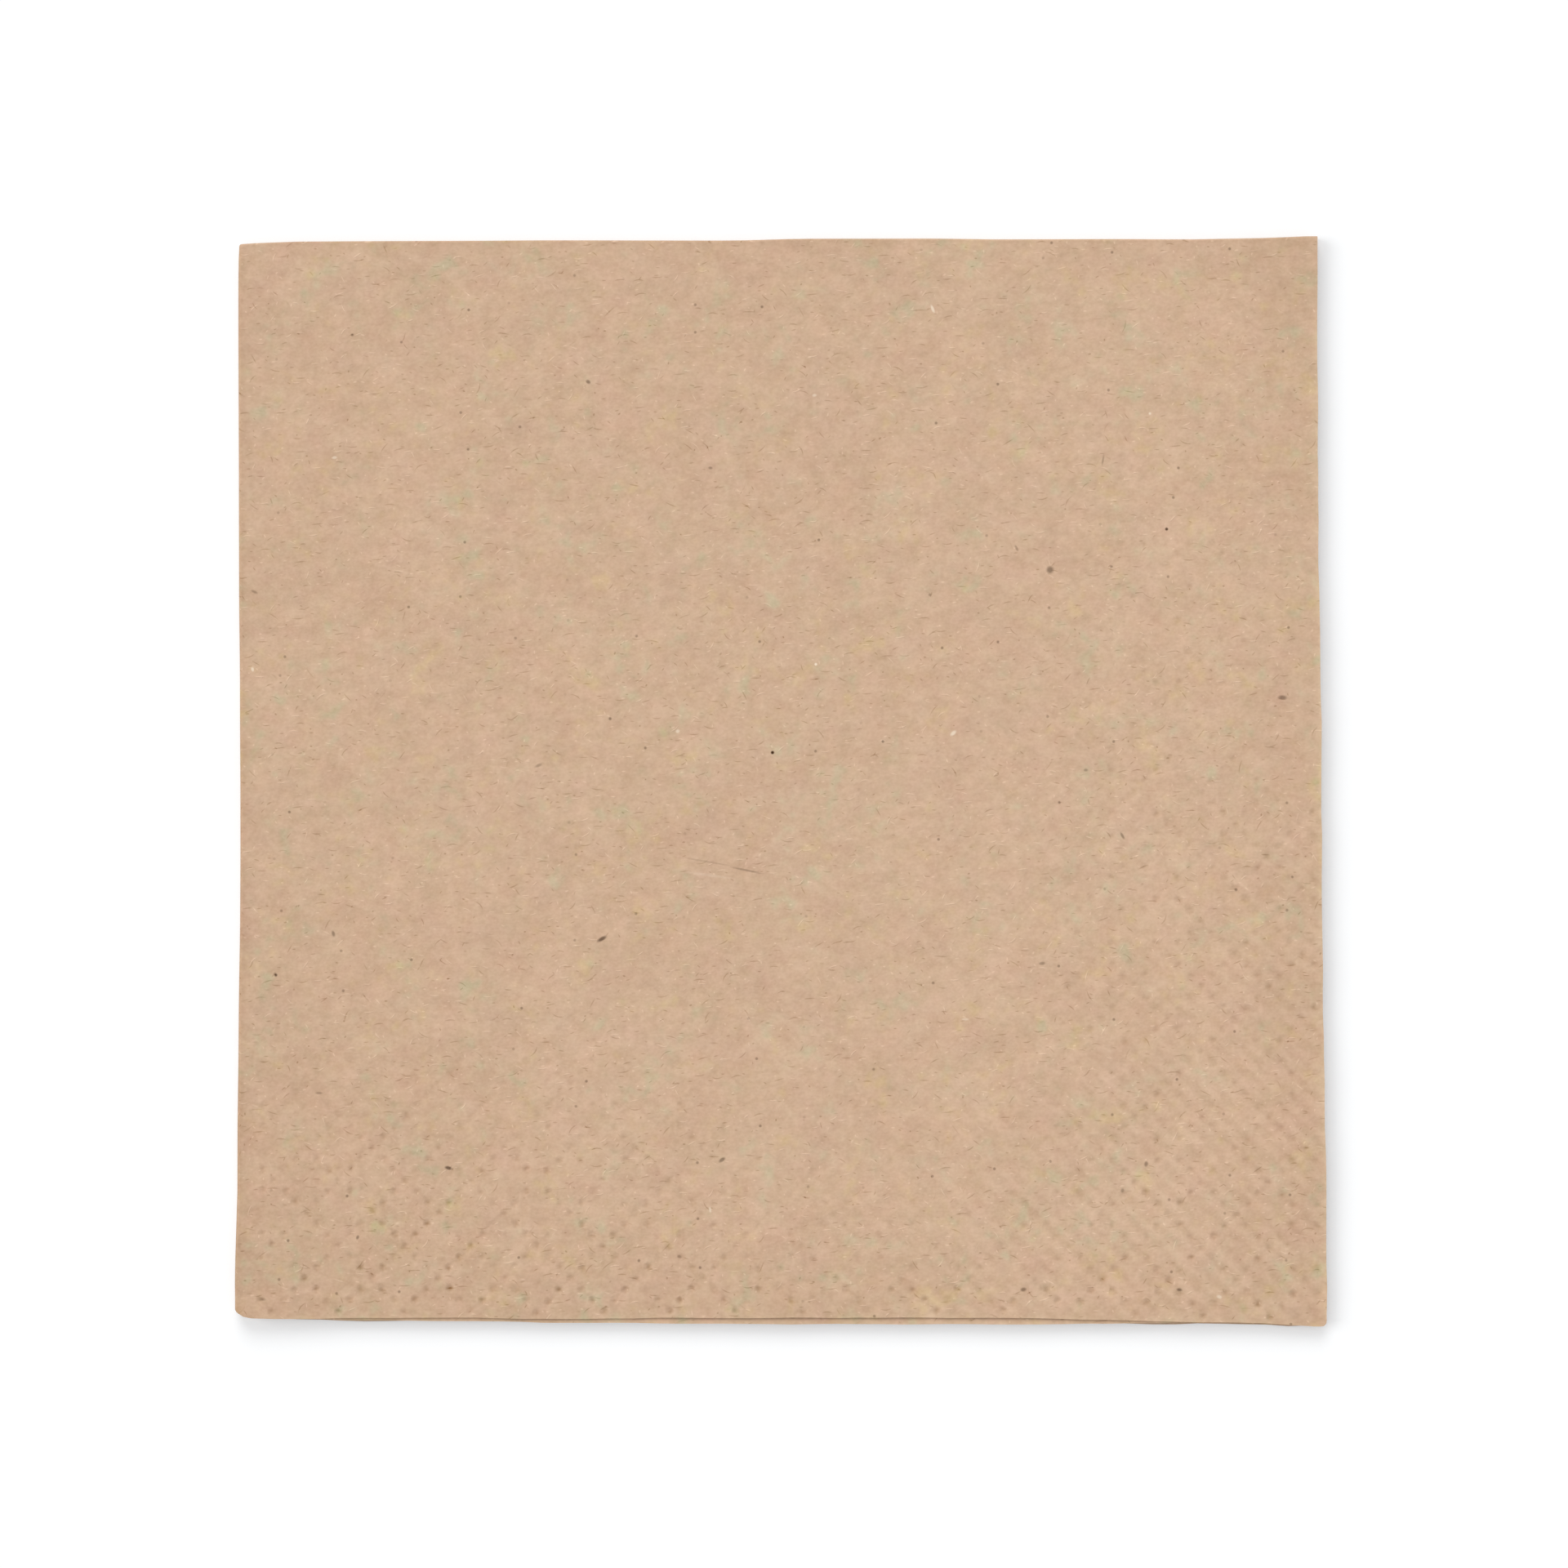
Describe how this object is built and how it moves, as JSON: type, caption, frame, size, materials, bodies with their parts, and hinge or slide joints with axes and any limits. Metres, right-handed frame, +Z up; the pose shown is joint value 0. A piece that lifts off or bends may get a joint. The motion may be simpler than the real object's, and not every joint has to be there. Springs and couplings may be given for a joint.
{
  "type": "paper napkin",
  "caption": "Square unbleached paper napkin, folded in half twice and lying flat, with an embossed border of small pits along its two open sides.",
  "frame": {"origin": "centre of the folded napkin's outline, on the surface that it lies on", "axes": "+Z up from that surface, +X from the second fold to the cut edges, +Y from the cut edges to the first fold"},
  "size_m": [0.1652, 0.1644, 0.0019],
  "materials": {
    "kraft_tissue": "unbleached, matt, with fine fibres and dark specks"
  },
  "bodies": {
    "root": {"napkin": "kraft_tissue"}
  },
  "joints": []
}
